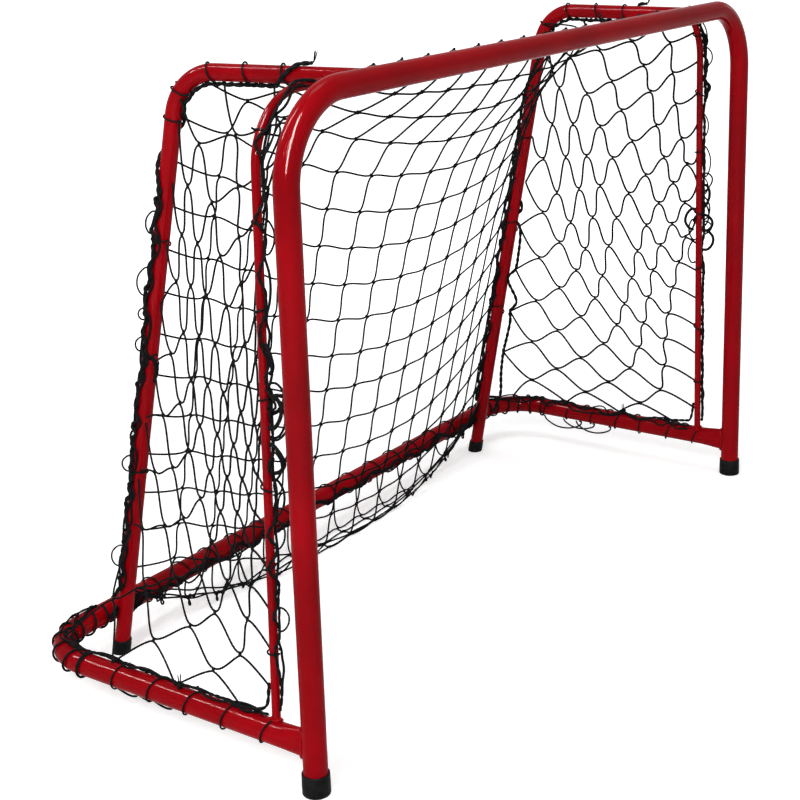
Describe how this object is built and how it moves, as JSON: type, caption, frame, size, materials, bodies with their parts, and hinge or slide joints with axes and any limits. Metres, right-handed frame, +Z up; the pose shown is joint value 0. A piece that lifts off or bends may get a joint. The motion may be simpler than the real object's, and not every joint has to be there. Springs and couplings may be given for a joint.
{
  "type": "floorball goal",
  "caption": "Small free-standing goal: a welded tube frame with a hoop for its mouth, a base loop and sloping side legs on rubber feet, hung with a laced, knotted net.",
  "frame": {"origin": "on the floor, below the middle of the goal's bounds", "axes": "+X across the goal, along the crossbar; +Y from the mouth to the rear; +Z up"},
  "size_m": [0.9054, 0.3699, 0.614],
  "materials": {
    "red_powder_coat": "gloss",
    "black_rubber": "matte",
    "black_cord": "matte"
  },
  "bodies": {
    "root": {"front_hoop": "red_powder_coat", "base_loop": "red_powder_coat", "left_side_leg": "red_powder_coat", "right_side_leg": "red_powder_coat", "net_rod_left": "red_powder_coat", "net_rod_right": "red_powder_coat", "net_rod_top": "red_powder_coat", "base_weld_left": "red_powder_coat", "base_weld_right": "red_powder_coat", "leg_top_weld_left": "red_powder_coat", "leg_top_weld_right": "red_powder_coat", "leg_base_weld_left": "red_powder_coat", "leg_base_weld_right": "red_powder_coat", "rod_foot_weld_left": "red_powder_coat", "rod_foot_weld_right": "red_powder_coat", "rod_corner_weld_left": "red_powder_coat", "rod_corner_weld_right": "red_powder_coat", "rod_top_weld_left": "red_powder_coat", "rod_top_weld_right": "red_powder_coat", "front_left_foot": "black_rubber", "front_right_foot": "black_rubber", "rear_left_foot": "black_rubber", "rear_right_foot": "black_rubber", "net_roof": "black_cord", "net_back": "black_cord", "net_left": "black_cord", "net_right": "black_cord", "net_fold": "black_cord", "lacing_leg_left": "black_cord", "lacing_leg_right": "black_cord", "lacing_rod_left": "black_cord", "lacing_rod_right": "black_cord", "lacing_rod_top": "black_cord", "lacing_base_left": "black_cord", "lacing_base_rear": "black_cord", "lacing_base_right": "black_cord"}
  },
  "joints": []
}
